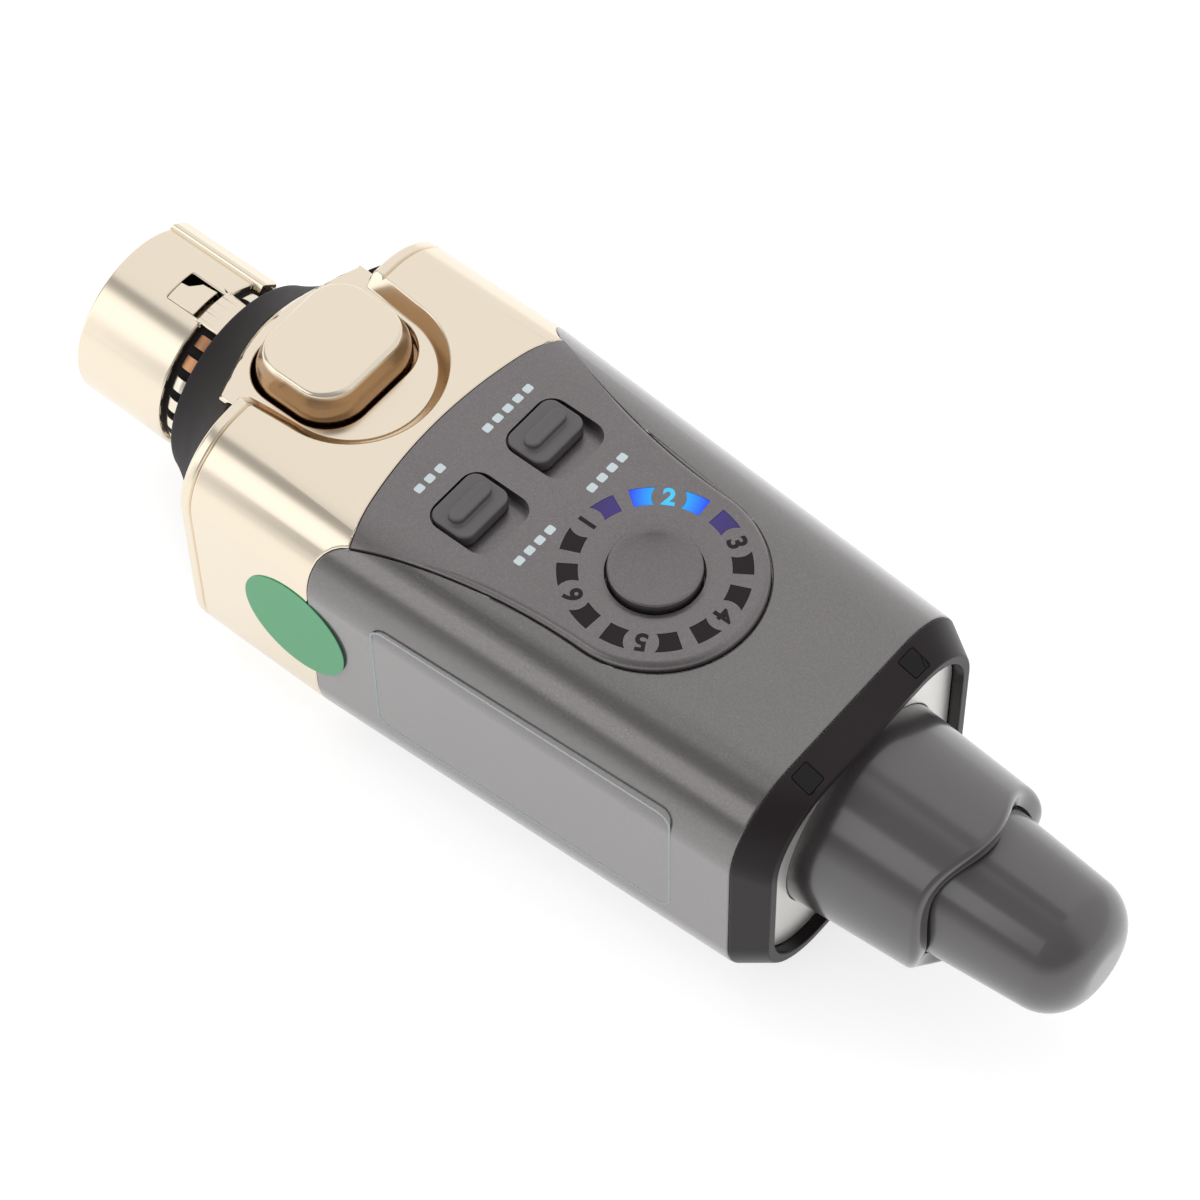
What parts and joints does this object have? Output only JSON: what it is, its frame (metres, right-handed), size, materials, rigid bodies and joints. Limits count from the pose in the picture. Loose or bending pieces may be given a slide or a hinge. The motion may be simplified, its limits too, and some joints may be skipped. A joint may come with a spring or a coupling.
{
  "type": "plug-on wireless audio transmitter",
  "caption": "Plug-on wireless transmitter: female XLR nose with latch button, two slide switches, round channel button and lights, stub antenna.",
  "frame": {"origin": "centre of the connector's front rim, on the connector axis", "axes": "+X along the connector axis from the mating face to the antenna tip, +Z towards the control side, +Y to the side with the charging socket"},
  "size_m": [0.118, 0.0379, 0.033],
  "materials": {
    "nickel": "satin champagne nickel plate",
    "grey_paint": "fine metallic warm grey, satin",
    "dark_trim": "dark grey, semi gloss",
    "grey_plastic": "warm grey, soft satin",
    "black_plastic": "black, moulded",
    "rubber": "black, matt",
    "gold": "gold plated",
    "spring_metal": "tinned bronze",
    "steel": "bright zinc",
    "lens_dark": "smoked, unlit",
    "lens_lit": "blue, lit",
    "clear": "milky, translucent",
    "plate": "pale satin",
    "board": "green solder mask",
    "foil": "smooth wrap",
    "foam": "soft foam",
    "paper": "green printed film"
  },
  "bodies": {
    "casing": {"connector_shell": "nickel", "connector_insert": "black_plastic", "contact_1": "gold", "contact_2": "gold", "contact_3": "gold", "ground_spring": "spring_metal", "gasket_ring": "rubber", "latch_pivot_pin": "steel", "latch_spring": "steel", "front_housing": "nickel", "rear_housing": "grey_paint", "control_panel": "grey_paint", "channel_lenses": "lens_dark", "active_lens": "lens_lit", "light_guide": "clear", "line_switch_body": "steel", "power_switch_body": "steel", "tact_switch": "black_plastic", "circuit_board": "board", "board_screws": "steel", "battery": "foil", "battery_pad": "foam", "radio_shield": "steel", "charging_socket": "steel", "end_band": "dark_trim", "status_windows": "lens_dark", "end_plate": "plate", "antenna_base": "grey_plastic", "antenna_cap": "grey_plastic", "antenna_element": "gold", "inspection_sticker": "paper"},
    "latch_button": {"latch_button": "nickel"},
    "latch_lever": {"latch_lever": "nickel"},
    "line_switch": {"line_switch_knob": "grey_plastic"},
    "power_switch": {"power_switch_knob": "grey_plastic"},
    "channel_button": {"channel_button": "grey_plastic"}
  },
  "joints": [
    {"name": "latch_press", "type": "slide", "parent": "casing", "child": "latch_button", "axis": [0, 0, -1], "range_m": [0, 0.0006], "stiffness_N_per_m": 1200, "springref_m": -0.0008, "deforming": ["latch_spring"]},
    {"name": "latch_lever_pivot", "type": "hinge", "parent": "casing", "child": "latch_lever", "pos_m": [0.036, 0, 0.0071], "axis": [0, -1, 0], "range_deg": [0, 4]},
    {"name": "line_switch_slide", "type": "slide", "parent": "casing", "child": "line_switch", "axis": [1, 0, 0], "range_m": [0, 0.0023]},
    {"name": "power_switch_slide", "type": "slide", "parent": "casing", "child": "power_switch", "axis": [1, 0, 0], "range_m": [0, 0.0023]},
    {"name": "channel_button_press", "type": "slide", "parent": "casing", "child": "channel_button", "axis": [0, 0, -1], "range_m": [0, 0.0006], "stiffness_N_per_m": 1500, "springref_m": -0.0004}
  ],
  "couplings": [
    {"joint": "latch_lever_pivot", "follows": "latch_press", "rad_per_m": 107.53}
  ]
}
